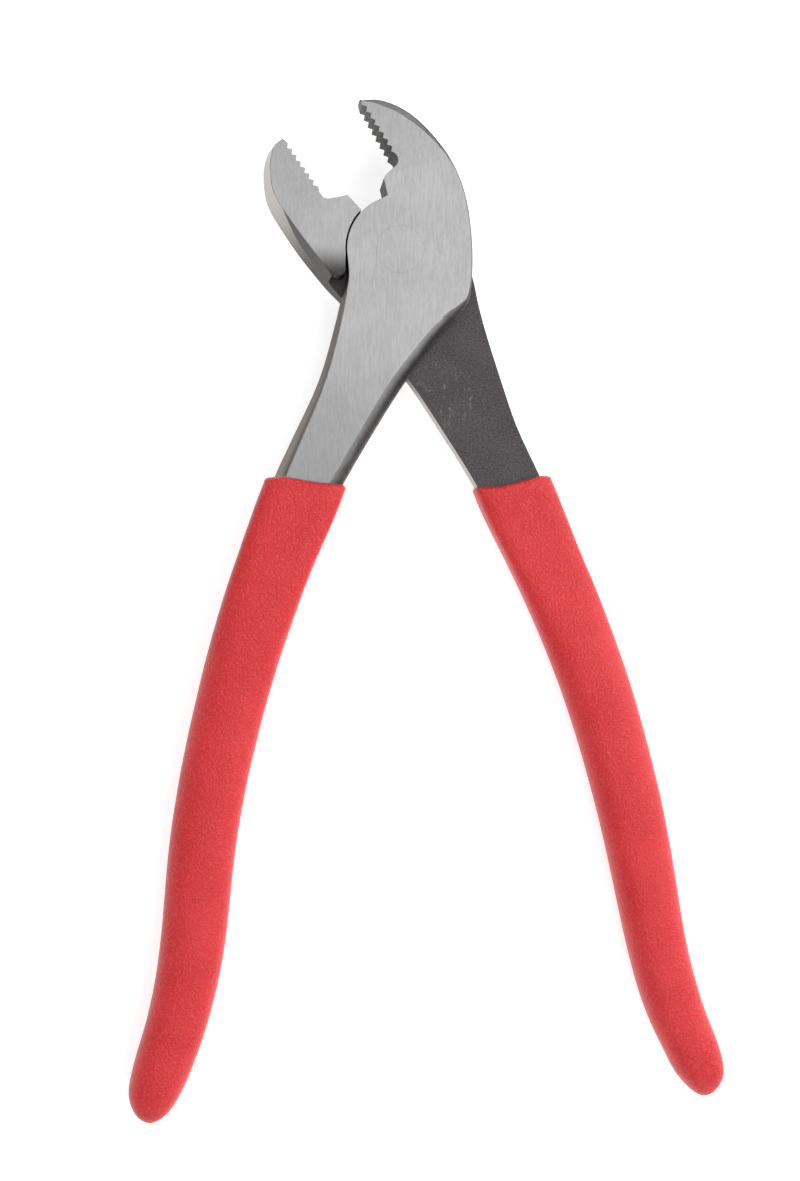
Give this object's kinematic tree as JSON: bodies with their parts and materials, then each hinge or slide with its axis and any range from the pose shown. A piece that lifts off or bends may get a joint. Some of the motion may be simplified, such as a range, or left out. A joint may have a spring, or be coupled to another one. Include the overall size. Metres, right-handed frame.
{
  "type": "battery terminal pliers",
  "caption": "Angle-nose battery-terminal pliers: forged levers in a riveted lap joint, toothed jaws set off to one side, and dipped red grips.",
  "frame": {"origin": "on the pivot axis, at the rivet's back end face", "axes": "+Y from the handles to the jaws, +X to the rear lever's handle, +Z along the pivot axis from the back face to the front face"},
  "size_m": [0.118, 0.1999, 0.0135],
  "materials": {
    "ground_steel": "satin belt-ground faces over dark forged edges",
    "forged_steel": "black oxide forging skin, ground on the jaw",
    "rivet_steel": "satin, ground flush with the levers",
    "red_plastisol": "dipped soft vinyl with a fine orange-peel surface"
  },
  "bodies": {
    "front_handle": {"front_lever": "ground_steel", "pivot_rivet": "rivet_steel", "front_grip": "red_plastisol"},
    "rear_handle": {"rear_lever": "forged_steel", "rear_grip": "red_plastisol"}
  },
  "joints": [
    {"name": "pivot", "type": "hinge", "parent": "front_handle", "child": "rear_handle", "pos_m": [0, 0, 0], "axis": [0, 0, 1], "range_deg": [-30.5, 0]}
  ]
}
